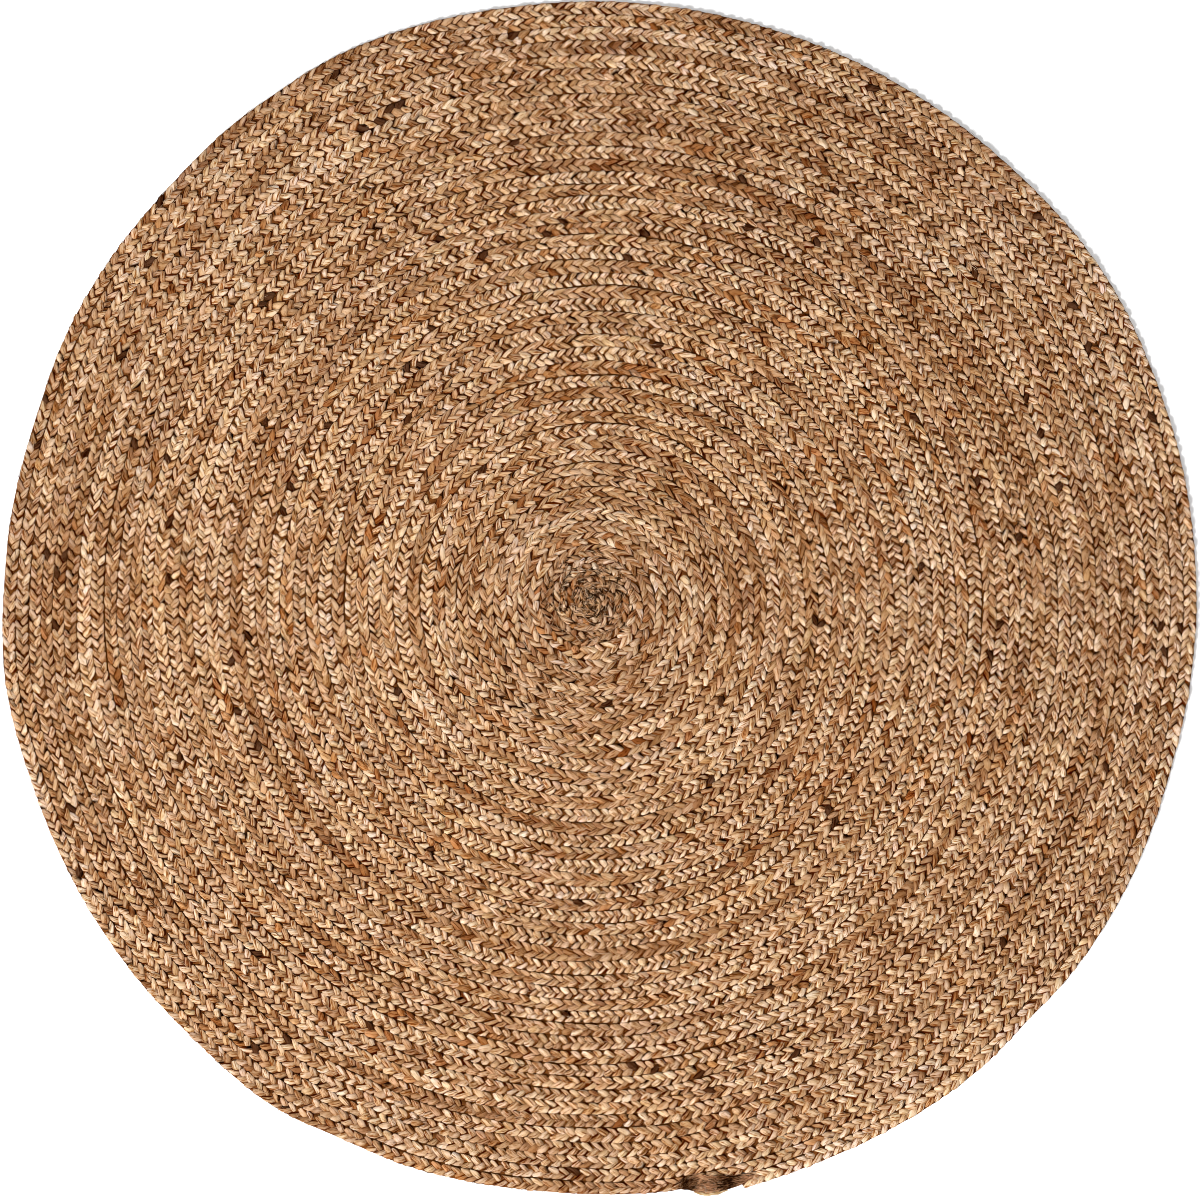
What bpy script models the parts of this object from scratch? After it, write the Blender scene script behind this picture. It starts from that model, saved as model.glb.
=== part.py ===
"""A round jute rug, 1.5 m across, lying flat on a floor.

Two flat three-strand braids, a pale one and a brown one, start together in the middle and are
coiled side by side, clockwise as seen from above, and sewn edge to edge. The pale braid ends
tucked in under the last turn. The brown one runs a little further and ends at the rim, where a
dark twine binds its frayed tip.

Metres, +Z up. The origin is on the floor under the middle of the rug, +X to the right and +Y up
as one looks down on it. Angles run anticlockwise from +X, turns run clockwise from +X.
"""

import math

import bmesh
import bpy
from mathutils import Vector

MM = 0.001

# The coil. A row is one braid's width; rows are counted outwards from the middle.
ROW_PITCH = 15.85 * MM
CORE_SWELL = 4.8 * MM  # the first rows are looser than the rest
CORE_ROWS = 4.5
CORE_CENTRE = Vector((-12.93 * MM, 0.22 * MM))
RIM_CENTRE = Vector((-7.935 * MM, -7.275 * MM))
CORE_HOLE_ROWS = 0.06
ROWS_PER_TURN = 2
PALE_OUTER_SEAM = 0.78  # row count of the seam outside the pale braid at turn 0
BROWN_OUTER_SEAM = -0.22

# Where the braids start and end, in turns clockwise from +X
PALE_START = -5 / 18
PALE_END = 24 - 315 / 360
PALE_TAPER = 15 / 360
PALE_CUT = 2 / 360  # the tip is cut this far before the taper closes
BROWN_START = 4 / 18
BROWN_END = 25 - 285 / 360
BROWN_TAPER = 10 / 360
BROWN_TIP_SHARE = 0.82

# The braids' section, and the clearance between neighbours
CREST = 10.0 * MM
SHOULDER = 6.5 * MM
FULL_CREST_ROWS = 0.6  # a braid at least this wide has its full height
GAP = 0.3 * MM

# The coil is never quite even: two slow waves in the crest, in radians per turn
UNEVEN = 0.35 * MM
LONG_WAVE = 8.7
SHORT_WAVE = 23.1

# Columns: up to this row, straight runs per turn
STEPS = ((16, 18), (44, 36), (99, 72))
SAME_TURN = 1e-6

# The rim. The rows near it are pushed out or in with the hand-sewn edge.
RIM_ROWS = 12
FIRST_RIM_ROW = 46.22
RIM_END_ANGLE = 281
LAST_QUARTER = 0.75  # of the rim, which holds the pale braid's end
# Columns: angle in degrees, millimetres beyond an even coil
EDGE = (
    (0, -1), (20, 3), (33, 8), (50, 3.5), (70, 3.5), (95, 6.5), (114, 12), (124, 7),
    (138, 0), (150, -0.5), (162, -6), (175, -3), (188, 3), (199, -1), (225, 2.5),
    (238, 10.5), (245, 5), (252, 7), (265, 5), (278, 9), (290, 7), (309, 12),
    (318, 8), (330, -3), (345, -6), (354, -3), (360, -1),
)  # fmt: skip

# The bound end of the brown braid
BOUND_START = 285
BOUND_END = 279.5
BOUND_CREST = 11.0 * MM
BOUND_WRAPS = 9
WRAP_RIDGE = 0.7 * MM
BOUND_WIDTH = 0.98 * ROW_PITCH
BOUND_NECK = 0.8  # share of the width where it leaves the braid
BOUND_TIP = 0.3
SWELL_SHARE = 0.4  # share of the length over which it swells, and then closes

# Linear colours and roughness of the jute and of the twine
PALE_COLOUR = (0.41, 0.27, 0.16)
BROWN_COLOUR = (0.33, 0.17, 0.075)
BINDING_COLOUR = (0.13, 0.065, 0.03)
JUTE_ROUGHNESS = 0.9
TWINE_ROUGHNESS = 0.95
SHARP_ANGLE = 40


def clear_scene():
    for old in list(bpy.data.objects):
        bpy.data.objects.remove(old)


def ease(share):
    """0 to 1, level at both ends."""
    share = min(1.0, max(0.0, share))
    return share * share * (3 - 2 * share)


def edge_swell(angle):
    """How far the rim stands out beyond an even coil at an angle in degrees."""
    angle %= 360
    for (before, low), (after, high) in zip(EDGE, EDGE[1:]):
        if angle <= after:
            return (low + (high - low) * ease((angle - before) / (after - before))) * MM
    return EDGE[-1][1] * MM


def pale_loss(turn):
    """Share of the pale braid's width that its taper has taken, at one of its turns."""
    return ease((turn - PALE_END + PALE_TAPER) / PALE_TAPER)


def rim_row(angle):
    """Row count of the rug's outer edge."""
    round_rim = ((RIM_END_ANGLE - angle) % 360) / 360
    pale_turn = 24 - (angle % 360) / 360
    lost = pale_loss(pale_turn) if round_rim > LAST_QUARTER else 0.0
    return FIRST_RIM_ROW + ROWS_PER_TURN * round_rim - lost


def ring_centre(row):
    return RIM_CENTRE + (CORE_CENTRE - RIM_CENTRE) * math.exp(-row / CORE_ROWS)


def ring_radius(row):
    loose = (row / CORE_ROWS) ** 2
    return ROW_PITCH * row + CORE_SWELL * loose * math.exp(1 - loose)


def place(row, turn):
    """The point at a row count, on the line from the middle at a turn."""
    row = max(row, CORE_HOLE_ROWS)
    angle = -360 * turn
    edge = rim_row(angle)
    near_rim = ease((row - edge + RIM_ROWS) / RIM_ROWS)
    radius = ring_radius(row) + edge_swell(angle) * near_rim
    direction = Vector((math.cos(math.radians(angle)), math.sin(math.radians(angle))))
    return ring_centre(row) + direction * radius


def pale_outer(turn):
    """Row count of the seam on the pale braid's outer side."""
    return PALE_OUTER_SEAM + ROWS_PER_TURN * turn - pale_loss(turn)


def brown_outer(turn):
    """Row count of the seam on the brown braid's outer side."""
    return BROWN_OUTER_SEAM + ROWS_PER_TURN * turn - pale_loss(turn - 1)


def seam(rows, turn):
    """A point of a seam, on the straight run between two of its stations."""
    for last_row, steps in STEPS:
        station = math.floor(turn * steps + SAME_TURN)
        if rows(station / steps) < last_row:
            break
    start = place(rows(station / steps), station / steps)
    end = place(rows((station + 1) / steps), (station + 1) / steps)
    return start.lerp(end, turn * steps - station)


def stations(rows, first, last):
    """The turns at which a braid's section is set, finer further out."""
    turns = [first]
    while turns[-1] < last - SAME_TURN:
        row = rows(turns[-1])
        steps = next(steps for last_row, steps in STEPS if row < last_row)
        station = math.floor(turns[-1] * steps + SAME_TURN)
        turns.append(min(last, (station + 1) / steps))
    return turns


def section(inner, outer, crest):
    """Five points: a flat underside, two upright sides and a ridge."""
    across = (outer - inner).normalized() * (GAP / 2)
    inner = inner + across
    outer = outer - across
    middle = (inner + outer) / 2
    return [
        (*inner, 0.0),
        (*outer, 0.0),
        (*outer, SHOULDER),
        (*middle, crest),
        (*inner, SHOULDER),
    ]


def rib(name, sections, material):
    """A closed solid drawn through a row of equal sections."""
    bm = bmesh.new()
    rings = [[bm.verts.new(point) for point in ring] for ring in sections]
    for ring, following in zip(rings, rings[1:]):
        for i in range(len(ring)):
            j = (i + 1) % len(ring)
            bm.faces.new((ring[i], ring[j], following[j], following[i]))
    bm.faces.new(reversed(rings[0]))
    bm.faces.new(rings[-1])
    bmesh.ops.recalc_face_normals(bm, faces=bm.faces)
    mesh = bpy.data.meshes.new(name)
    bm.to_mesh(mesh)
    bm.free()
    mesh.shade_smooth()
    mesh.set_sharp_from_angle(angle=math.radians(SHARP_ANGLE))
    mesh.materials.append(material)
    piece = bpy.data.objects.new(name, mesh)
    bpy.context.collection.objects.link(piece)
    return piece


def jute(name, colour, roughness):
    material = bpy.data.materials.new(name)
    material.use_nodes = True
    shader = material.node_tree.nodes["Principled BSDF"]
    shader.inputs["Base Color"].default_value = (*colour, 1.0)
    shader.inputs["Roughness"].default_value = roughness
    shader.inputs["Metallic"].default_value = 0.0
    return material


def braid_crest(width, turn):
    """Height of the ridge: lower where the braid is drawn thin, and never quite even."""
    full = min(1.0, width / (FULL_CREST_ROWS * ROW_PITCH))
    wave = UNEVEN * (math.sin(LONG_WAVE * turn) + math.sin(SHORT_WAVE * turn)) / 2
    return SHOULDER + (CREST - SHOULDER + wave - UNEVEN) * full


def braid(name, inner, outer, first, last, tip_share, taper, material):
    """One braid's coil. Its width falls to tip_share of a row over its last stretch."""
    sections = []
    for turn in stations(outer, first, last):
        near = seam(inner, turn)
        far = seam(outer, turn)
        drawn_in = (1 - tip_share) * ease((turn - last + taper) / taper)
        far = far.lerp(near, drawn_in)
        crest = braid_crest((far - near).length, turn)
        sections.append(section(near, far, crest))
    return rib(name, sections, material)


def pale_inner(turn):
    return brown_outer(turn)


def brown_inner(turn):
    return pale_outer(turn - 1)


def bound_end(material):
    """The wrapped tip: a tapering lump on the rim with a ridge for each turn of twine."""
    steps = 2 * BOUND_WRAPS  # a ridge and a furrow for each
    start = BOUND_START - math.degrees(GAP / ring_radius(FIRST_RIM_ROW))
    sections = []
    for i in range(steps + 1):
        share = i / steps
        angle = start + (BOUND_END - start) * share
        near = seam(brown_outer, 24 - angle / 360)
        outwards = (near - RIM_CENTRE).normalized()
        swelling = BOUND_NECK + (1 - BOUND_NECK) * ease(share / SWELL_SHARE)
        left = (1 - share) / SWELL_SHARE
        closing = BOUND_TIP + (1 - BOUND_TIP) * ease(left)
        ridge = WRAP_RIDGE if i % 2 else 0.0
        width = BOUND_WIDTH * swelling * closing + ridge
        crest = SHOULDER + (BOUND_CREST - SHOULDER) * closing - WRAP_RIDGE + ridge
        sections.append(section(near, near + outwards * width, crest))
    return rib("end_binding", sections, material)


def main():
    clear_scene()
    pale = jute("pale_jute", PALE_COLOUR, JUTE_ROUGHNESS)
    brown = jute("brown_jute", BROWN_COLOUR, JUTE_ROUGHNESS)
    twine = jute("binding_twine", BINDING_COLOUR, TWINE_ROUGHNESS)
    braid(
        "braid_pale", pale_inner, pale_outer,
        PALE_START, PALE_END - PALE_CUT, 1.0, PALE_TAPER, pale,
    )  # fmt: skip
    braid(
        "braid_brown", brown_inner, brown_outer,
        BROWN_START, BROWN_END, BROWN_TIP_SHARE, BROWN_TAPER, brown,
    )  # fmt: skip
    bound_end(twine)


main()
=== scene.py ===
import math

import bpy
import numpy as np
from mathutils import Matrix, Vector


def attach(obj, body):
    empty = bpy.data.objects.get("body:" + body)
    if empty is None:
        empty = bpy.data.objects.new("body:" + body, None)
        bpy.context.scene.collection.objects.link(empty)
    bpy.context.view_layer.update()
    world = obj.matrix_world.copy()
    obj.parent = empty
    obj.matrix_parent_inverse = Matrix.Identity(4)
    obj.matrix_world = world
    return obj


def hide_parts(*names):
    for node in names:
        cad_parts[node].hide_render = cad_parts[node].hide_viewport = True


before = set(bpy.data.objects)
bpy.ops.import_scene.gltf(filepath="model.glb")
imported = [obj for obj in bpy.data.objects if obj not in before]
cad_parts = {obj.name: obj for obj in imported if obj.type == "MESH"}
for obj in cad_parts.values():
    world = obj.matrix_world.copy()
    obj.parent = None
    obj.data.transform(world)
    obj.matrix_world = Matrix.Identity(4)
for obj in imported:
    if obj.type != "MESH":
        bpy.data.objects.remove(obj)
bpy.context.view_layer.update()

# A round jute rug, 1.5 m across. Two flat braids, a pale one and a brown one, start together in
# the middle and are coiled side by side, clockwise as seen from above. Each stitch that shows is
# a small arched mesh that follows its strand over and under. Metres, +Z up. Angles run
# anticlockwise from +X, turns run clockwise from +X, and rows are counted outwards from the
# middle. "q" is a count of stitches along one side of a braid.

MM = 0.001
SEED = 11

# The coil, as the solids have it
ROW_PITCH = 15.85 * MM
CORE_SWELL = 4.8 * MM
CORE_ROWS = 4.5
CORE_CENTRE = np.array((-12.93, 0.22)) * MM
RIM_CENTRE = np.array((-7.935, -7.275)) * MM
CORE_HOLE_ROWS = 0.06
ROWS_PER_TURN = 2
PALE_OUTER_SEAM = 0.78
BROWN_OUTER_SEAM = -0.22
LAST_TURN = 24
PALE_START = -5 / 18
PALE_END = LAST_TURN - 315 / 360
PALE_TAPER = 15 / 360
BROWN_START = 4 / 18
BROWN_END_ANGLE = 285
BROWN_END = LAST_TURN + 1 - BROWN_END_ANGLE / 360
RIM_ROWS = 12
FIRST_RIM_ROW = 46.22
RIM_END_ANGLE = 281
LAST_QUARTER = 0.75
# Columns: angle in degrees, millimetres beyond an even coil
EDGE = np.array((
    (0, -1), (20, 3), (33, 8), (50, 3.5), (70, 3.5), (95, 6.5), (114, 12), (124, 7),
    (138, 0), (150, -0.5), (162, -6), (175, -3), (188, 3), (199, -1), (225, 2.5),
    (238, 10.5), (245, 5), (252, 7), (265, 5), (278, 9), (290, 7), (309, 12),
    (318, 8), (330, -3), (345, -6), (354, -3), (360, -1),
))  # fmt: skip

# Slow waves in the rows. Columns: millimetres, waves in a turn, radians for each row, radians
WANDER = (
    (0.9, 2, 0.8, 0.0), (0.8, 5, -1.0, 2.0), (0.55, 11, 1.5, 4.0), (0.4, 23, -2.1, 1.0),
)  # fmt: skip
STILL_MIDDLE_ROWS = 6  # over which the waves grow from the middle
STILL_RIM_ROWS = 4

# Columns: row; length of the pale and the brown stitches in millimetres; how far they lean
# along the row
STITCH = np.array((
    (0, 8.5, 9.0, 1.3, 1.3), (3, 10.0, 10.5, 1.3, 1.3), (6, 12.5, 13.0, 1.2, 1.2),
    (9, 13.0, 14.0, 1.1, 1.2), (16, 11.3, 13.5, 0.88, 1.2), (24, 10.5, 13.4, 0.8, 1.15),
    (32, 11.5, 13.6, 0.85, 1.1), (39, 12.1, 13.5, 0.95, 1.05), (44, 12.6, 13.0, 1.0, 1.0),
))  # fmt: skip

# Columns: row; lightness of the pale and the brown braid; their warmth; how rare their brown
# runs are
TONE = np.array((
    (0, -0.38, -0.38, 0.2, 0.2, 1.2, 1.2),
    (3, -0.42, -0.10, 0.0, 0.0, 1.5, 1.5),
    (5, -0.32, -0.02, 0.0, 0.0, 1.6, 1.6),
    (9, -0.24, -0.29, 0.15, 0.2, 1.7, 1.3),
    (16, -0.10, -0.40, 0.15, 0.3, 1.9, 1.0),
    (24, -0.04, -0.38, 0.15, 0.3, 1.9, 1.0),
    (32, -0.10, -0.25, 0.1, 0.25, 1.7, 1.2),
    (39, -0.20, -0.22, 0.1, 0.2, 1.5, 1.6),
    (44, -0.30, -0.20, 0.1, 0.1, 1.5, 1.9),
    (48, -0.26, -0.20, 0.1, 0.0, 1.5, 1.9),
))  # fmt: skip


def ease(share):
    """0 to 1, level at both ends."""
    share = np.clip(share, 0.0, 1.0)
    return share * share * (3 - 2 * share)


def edge_swell(angle):
    """How far the rim stands out beyond an even coil, at angles in degrees."""
    angle = angle % 360
    after = np.clip(np.searchsorted(EDGE[:, 0], angle), 1, len(EDGE) - 1)
    low, high = EDGE[after - 1], EDGE[after]
    share = (angle - low[..., 0]) / (high[..., 0] - low[..., 0])
    return (low[..., 1] + (high[..., 1] - low[..., 1]) * ease(share)) * MM


def pale_loss(turn):
    """Share of the pale braid's width that its taper has taken, at its turns."""
    return ease((turn - PALE_END + PALE_TAPER) / PALE_TAPER)


def rim_row(angle):
    """Row count of the rug's outer edge."""
    round_rim = ((RIM_END_ANGLE - angle) % 360) / 360
    lost = pale_loss(LAST_TURN - (angle % 360) / 360) * (round_rim > LAST_QUARTER)
    return FIRST_RIM_ROW + ROWS_PER_TURN * round_rim - lost


def wander(row, angle):
    """How far the hand-sewn rows stray from an even coil. It fades at the middle and the rim."""
    around = np.radians(angle)
    stray = sum(
        size * np.sin(waves * around + across * row + start)
        for size, waves, across, start in WANDER
    )
    fading = ease(row / STILL_MIDDLE_ROWS), ease((rim_row(angle) - row) / STILL_RIM_ROWS)
    return stray * MM * fading[0] * fading[1]


def place(row, turn):
    """The points (x, y) at row counts, on the lines from the middle at turns."""
    row = np.maximum(row, CORE_HOLE_ROWS)
    angle = -360 * turn
    near_rim = ease((row - rim_row(angle) + RIM_ROWS) / RIM_ROWS)
    loose = (row / CORE_ROWS) ** 2
    radius = ROW_PITCH * row + CORE_SWELL * loose * np.exp(1 - loose)
    radius = radius + edge_swell(angle) * near_rim + wander(row, angle)
    shift = np.exp(-row / CORE_ROWS)[..., None]
    centre = RIM_CENTRE + (CORE_CENTRE - RIM_CENTRE) * shift
    direction = np.stack([np.cos(np.radians(angle)), np.sin(np.radians(angle))], axis=-1)
    return centre + direction * radius[..., None]


def pale_outer(turn):
    return PALE_OUTER_SEAM + ROWS_PER_TURN * turn - pale_loss(turn)


def brown_outer(turn):
    return BROWN_OUTER_SEAM + ROWS_PER_TURN * turn - pale_loss(turn - 1)


def pale_inner(turn):
    return brown_outer(turn)


def brown_inner(turn):
    return pale_outer(turn - 1)


class Braid:
    """One braid's path: from a stitch count and a place across it to a point of the rug."""

    PATH_POINTS = 30001
    LEAST_FULLNESS = 0.05

    def __init__(self, name, inner, outer, first, last, column):
        """column is the braid's first column in STITCH and in TONE."""
        self.name = name
        self.inner, self.outer = inner, outer
        self.column = column
        turns = np.linspace(first, last, self.PATH_POINTS)
        middle = place(self.row(turns, 0.0), turns)
        run = np.linalg.norm(np.diff(middle, axis=0), axis=1)
        pitch = np.interp(self.row(turns, 0.0), STITCH[:, 0], STITCH[:, column]) * MM
        self.turns = turns
        self.q = np.concatenate([[0.0], np.cumsum(run / pitch[1:])])
        self.stitches = int(self.q[-1])
        self.last_run = (turns[-1] - turns[-2]) / (self.q[-1] - self.q[-2])

    def row(self, turn, across):
        """Row count at a share across the braid, from -1 at its inner seam to 1."""
        inner = np.maximum(self.inner(turn), CORE_HOLE_ROWS)
        outer = np.maximum(self.outer(turn), CORE_HOLE_ROWS)
        return (inner + outer) / 2 + across * (outer - inner) / 2

    def turn(self, q):
        """Turns at stitch counts. A stitch that reaches past the end goes straight on."""
        beyond = np.maximum(q - self.q[-1], 0.0) * self.last_run
        return np.interp(q, self.q, self.turns) + beyond

    def pitch(self, q):
        rows = self.row(self.turn(q), 0.0)
        return np.interp(rows, STITCH[:, 0], STITCH[:, self.column]) * MM

    def fullness(self, q):
        """Width of the braid there, as a share of a row."""
        turn = self.turn(q)
        return np.maximum(self.row(turn, 1.0) - self.row(turn, -1.0), self.LEAST_FULLNESS)

    def points(self, q, across, height):
        """Points of the rug; across is a share of half the braid's width."""
        turn = self.turn(q)
        flat = place(self.row(turn, across), turn)
        return np.concatenate([flat, np.asarray(height)[..., None]], axis=-1)


PALE = Braid("pale", pale_inner, pale_outer, PALE_START, PALE_END, 1)
BROWN = Braid("brown", brown_inner, brown_outer, BROWN_START, BROWN_END, 2)

# Shape of a stitch. Columns: shares of a stitch's length along the row, from the point of its V,
# and of half the row's width; height of its middle, half its width and half its height in
# millimetres; lightness, which is painted shade where the stitch tucks under its neighbour and a
# slight painted highlight towards its outer end
TOP_STITCH = np.array((
    (-0.15, -0.18, 3.7, 3.6, 2.0, 0.58),
    (0.09, 0.11, 5.6, 4.6, 2.5, 0.91),
    (0.34, 0.44, 7.0, 5.1, 2.9, 0.97),
    (0.62, 0.76, 6.9, 5.2, 2.9, 1.01),
    (0.90, 1.03, 5.6, 4.5, 2.7, 1.03),
))  # fmt: skip
# On the underside the lightness column is painted shade where the stitch tucks in at both ends
UNDER_STITCH = np.array((
    (-0.15, -0.18, 4.7, 3.6, 2.0, 0.60),
    (0.24, 0.30, 2.7, 4.9, 2.6, 0.96),
    (0.68, 0.80, 2.7, 4.9, 2.6, 1.02),
    (0.96, 1.00, 4.6, 3.8, 2.4, 0.80),
))  # fmt: skip
# Section of a stitch, on the top and the underside. Columns: shares of half its width and of half
# its height, lightness, which is painted shade towards its sides where it dips between neighbours
TOP_SECTION = np.array((
    (-1.0, -0.5, 0.75), (-0.6, 0.72, 0.96), (0.0, 1.0, 1.0), (0.6, 0.72, 0.96), (1.0, -0.5, 0.75),
))  # fmt: skip
UNDER_SECTION = np.array(((-1.0, -0.4, 0.8), (0.0, 1.0, 1.0), (1.0, -0.4, 0.8)))
PALE_RELIEF = 1.0
BROWN_RELIEF = 0.9
PLAIN_PITCH = 12 * MM  # of the stitches that those widths are for

# How uneven the stitches are. Spreads are shares of what they change
START_SPREAD = 0.085
LEAN_SPREAD = 0.15
REACH_SPREAD = 0.08
SKEW_SPREAD = 0.08
WIDTH_SPREAD = 0.13
TALL_SPREAD = 0.10
DENT_SPREAD = 0.07
TILT_SPREAD = 0.13
SEAM_SPREAD = 0.05
LIFT_SPREAD = 0.35 * MM
FURTHEST = 2.2  # no stitch is further off than this many spreads
LOOSER_MIDDLE = 1.6
LOOSER_ROWS = 3
LEAN_FROM = 0.4  # share of a stitch's length that stays where it is
SEAM_SHARE = 1.02
SEAM_OPENING = 0.10  # where a seam gapes, as a share of half a row
GAPE_RUN = 60  # stitches
GAPE_FROM = 0.2
GAPE_TO = 1.1
GAPE_ROWS = 16

# A shade of k takes this power of k in red, green and blue, so that dark jute is redder. Between
# stitches it is so by a little, and within one by more, where DEEPEN reddens the painted shade.
STITCH_DEEPEN = np.array((0.93, 1.34, 1.76))
DEEPEN = np.array((0.94, 1.5, 2.4))
MIDDLE_JUTE = np.array((0.516, 0.345, 0.217))
WARMER = np.array((0.06, -0.05, -0.28))
PINKER = np.array((0.006, -0.013, 0.004))
RUSSET = np.array((0.05, -0.14, -0.42))
BRIGHTEST = 0.19
BRIGHTEST_WITHIN = 0.12
COOLEST = -0.7
BARK = np.array((0.028, 0.009, 0.003))

# How the colour varies along a braid. Runs are counts of stitches, spreads are natural
# logarithms of lightness
LIGHTER = 0.19  # than TONE says, for both braids
LIGHT_RUN, LIGHT_SPREAD = 8, 0.12
ROW_RUNS = ((50, 0.09), (260, 0.07))  # columns: run, spread
PATCHINESS = (1.0, 1.5)  # of the pale and the brown braid
ODD_LIGHT, ODD_DARK = 0.11, 0.22
WARM_RUN, WARM_SPREAD, WARM_ODD = 12, 0.22, 0.08
STAIN_RUN, STAIN_ROW_RUN, STAIN_ROW_SHARE, STAIN_EDGE = 6, 60, 0.5, 0.8
STAIN_SHADE = 0.45
BARK_STITCHES, BARK_RUN, BARK_CROWDING = 0.003, 30, 1.2
BARK_PALER, BARK_COVER = 2, 0.97
RUSSET_STITCHES, RUSSET_STRENGTH = 0.009, 0.7

# Colour within a stitch, which carries its painted shade and highlight
POINT_SPREAD = 0.10
SLANT_SPREAD = 0.10
SLIVER_SHARE = 0.06  # of the stitches, that carry a sliver of bark
SLIVER_RUN = 40
SLIVER_REACH = 1.9  # points of the stitch's mesh
SLIVER_MIDDLE, SLIVER_CLOSING = 1.0, 0.35
EDGE_SPREAD = 0.10
END_EDGE = 0.54  # a stitch's outer end, on the scale of half its width, so that the painted crevice shade reaches round it
STITCH_RUN, STITCH_HALF = 13, 4.4  # size of a stitch for its fibres, in millimetres
ELSEWHERE = 900  # millimetres, so that no two stitches show the same fibres


def drift(rng, count, length):
    """Smooth random values along a count of stitches, about as long as length."""
    knots = rng.normal(size=int(count / length) + 3)
    at = np.arange(count) / length + rng.random()
    low = at.astype(int)
    return knots[low] + (knots[low + 1] - knots[low]) * ease(at - low)


def shaded(colour, tone, deepen=DEEPEN):
    """Colours at lightnesses, which are natural logarithms."""
    return colour * np.exp(tone[..., None] * deepen)


def strand_look(braid, rng, count):
    """Each stitch's colour: it drifts along the three strands and along the row."""
    rows = braid.row(braid.turn(np.arange(count) / 2), 0.0)
    tone, warmth, stain_share = (
        np.interp(rows, TONE[:, 0], TONE[:, braid.column + skipped]) for skipped in (0, 2, 4)
    )
    index = np.arange(count)

    def by_strand(length):
        return np.stack([drift(rng, count, length) for _ in range(3)])[index % 3, index]

    tone = tone + LIGHTER + by_strand(LIGHT_RUN) * LIGHT_SPREAD
    patches = sum(drift(rng, count, run) * spread for run, spread in ROW_RUNS)
    tone = tone + PATCHINESS[braid.column - 1] * patches
    odd = rng.normal(size=count)
    tone = np.minimum(tone + np.where(odd > 0, ODD_LIGHT, ODD_DARK) * odd, BRIGHTEST)
    warmth = warmth + by_strand(WARM_RUN) * WARM_SPREAD + rng.normal(size=count) * WARM_ODD
    stain = by_strand(STAIN_RUN) + STAIN_ROW_SHARE * drift(rng, count, STAIN_ROW_RUN)
    stain = ease((stain - stain_share) / STAIN_EDGE)
    barked = rng.random(count)
    barked = barked < BARK_STITCHES * np.exp(BARK_CROWDING * drift(rng, count, BARK_RUN))
    russet = (rng.random(count) < RUSSET_STITCHES) * RUSSET_STRENGTH
    tone = tone - STAIN_SHADE * stain - STAIN_SHADE * russet
    warmth = np.maximum(warmth, COOLEST)
    pink = rng.normal(size=count)
    hue = warmth[:, None] * WARMER + pink[:, None] * PINKER + (stain + russet)[:, None] * RUSSET
    colour = shaded(MIDDLE_JUTE * np.exp(hue), tone, STITCH_DEEPEN)
    return colour + (BARK_PALER * BARK - colour) * (BARK_COVER * barked[:, None])


def stitches(braid, shape, section, up, seed, relief):
    """Points of every stitch on one face, as an array (stitch, along, across, xyz)."""
    rng = np.random.default_rng(seed)
    count = 2 * braid.stitches
    one = (count, 1, 1)

    def vary(spread):
        return np.clip(rng.normal(size=one), -FURTHEST, FURTHEST) * spread

    side = np.where(np.arange(count) % 2, 1.0, -1.0).reshape(one)
    start = (np.arange(count) / 2).reshape(one)
    rows = braid.row(braid.turn(start), 0.0)
    loose = 1 + LOOSER_MIDDLE * np.exp(-rows / LOOSER_ROWS)
    start = start + vary(START_SPREAD) * loose
    pitch = braid.pitch(start)
    full = np.minimum(braid.fullness(start), 1.0)
    half_row = ROW_PITCH / 2 * full
    columns = [column.reshape(1, -1, 1) for column in shape.T]
    share_along, share_across, middle, half_width, half_height, _ = columns
    lean = np.interp(rows, STITCH[:, 0], STITCH[:, braid.column + 2])
    stretch = lean * (1 + vary(LEAN_SPREAD) * loose)
    along = ((share_along - LEAN_FROM) * stretch + LEAN_FROM) * pitch
    across = share_across * half_row * (1 + vary(REACH_SPREAD))
    across = side * (across + vary(SKEW_SPREAD) * along * loose)
    step_along = np.gradient(along, axis=1)
    step_across = np.gradient(across, axis=1)
    length = np.hypot(step_along, step_across)
    size = full * np.sqrt(pitch / PLAIN_PITCH)
    width = half_width * MM * size * (1 + vary(WIDTH_SPREAD))
    tall = half_height * MM * relief * (1 + vary(TALL_SPREAD))
    over, rise, _ = [column.reshape(1, 1, -1) for column in section.T]
    dents = rng.normal(size=(count, len(shape), len(section)))
    bend = over * width * (1 + dents * DENT_SPREAD)
    height = middle * MM + up * rise * tall + vary(LIFT_SPREAD) + bend * vary(TILT_SPREAD)
    q = start + (along - bend * step_across / length) / pitch
    share = (across + bend * step_along / length) / half_row
    gaping = np.where(side > 0, *(drift(rng, count, GAPE_RUN).reshape(one) for _ in range(2)))
    opening = ease((gaping - GAPE_FROM) / (GAPE_TO - GAPE_FROM)) * ease(rows / GAPE_ROWS)
    limit = SEAM_SHARE + vary(SEAM_SPREAD) - SEAM_OPENING * opening
    share = np.clip(share, -limit, limit)
    return braid.points(q, share, np.broadcast_to(height, q.shape))


def grid_mesh(name, points, tint, fibre, material):
    """One mesh of many small grids. points is (grid, along, across, xyz)."""
    count, rows, columns = points.shape[:3]
    corner = np.arange(rows * columns).reshape(rows, columns)
    quads = np.stack(
        [corner[:-1, :-1], corner[:-1, 1:], corner[1:, 1:], corner[1:, :-1]], axis=-1
    ).reshape(-1, 4)
    faces = (quads[None] + (np.arange(count) * rows * columns)[:, None, None]).reshape(-1, 4)
    mesh = quad_mesh(name, points.reshape(-1, 3), faces)
    vector_attribute(mesh, "tint", tint.reshape(-1, 3))
    vector_attribute(mesh, "fibre", fibre.reshape(-1, 3))
    atlas(mesh, count, rows, columns, faces)
    return piece(name, mesh, material)


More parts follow.
